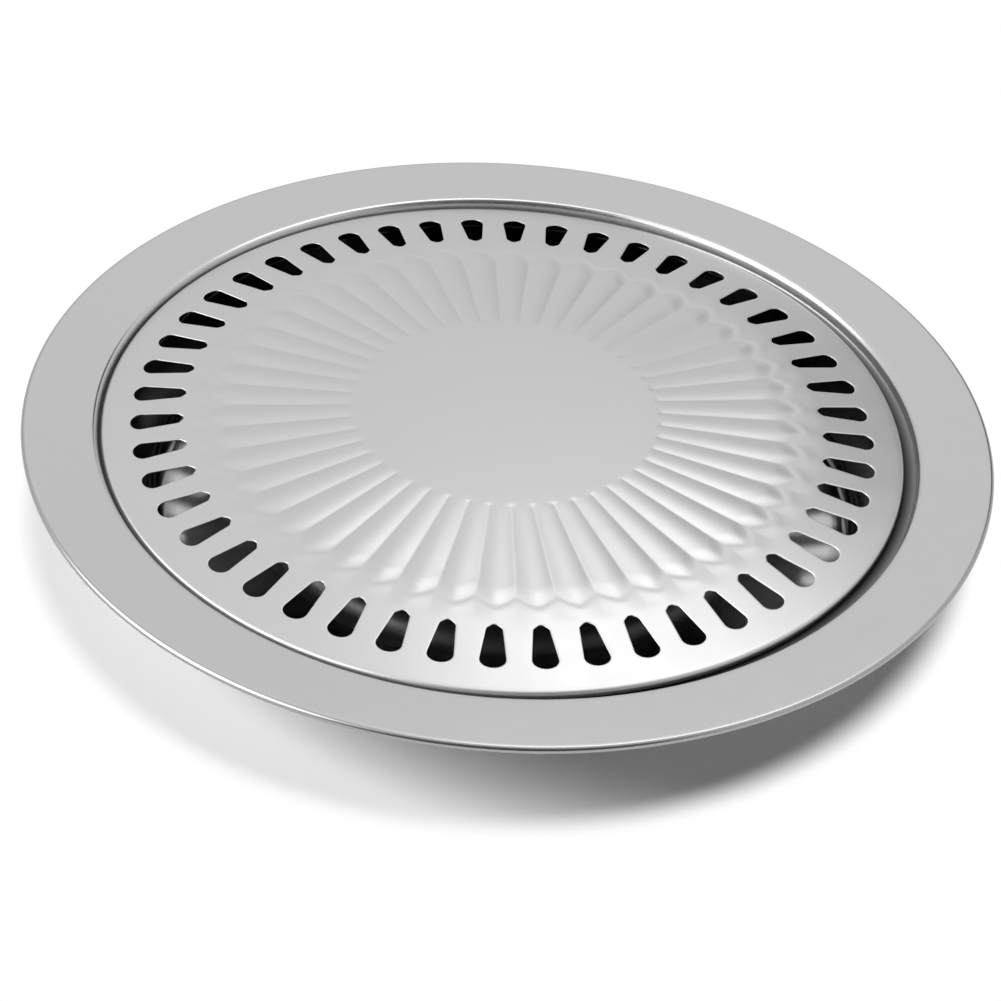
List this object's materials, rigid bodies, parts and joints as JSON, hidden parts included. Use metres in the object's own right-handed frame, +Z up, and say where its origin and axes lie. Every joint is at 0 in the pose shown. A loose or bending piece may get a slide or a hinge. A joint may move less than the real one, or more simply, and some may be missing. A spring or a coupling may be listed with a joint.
{
  "type": "stove-top grill pan",
  "caption": "Round stainless stove-top grill pan: domed ribbed plate with drain slots, resting in a wide-flanged tray with a ring trough and a flame opening.",
  "frame": {"origin": "tray's axis at the surface that the tray stands on", "axes": "+Z up along the tray's axis; the view of the picture is from -Y"},
  "size_m": [0.325, 0.325, 0.0349],
  "materials": {
    "tray_steel": "polished pressed stainless steel",
    "plate_steel": "satin pressed stainless steel"
  },
  "bodies": {
    "tray": {"drip_tray": "tray_steel"},
    "plate": {"grill_plate": "plate_steel"}
  },
  "joints": [
    {"name": "plate_lift", "type": "slide", "parent": "tray", "child": "plate", "axis": [0, 0, 1], "range_m": [0, 0.06]}
  ]
}
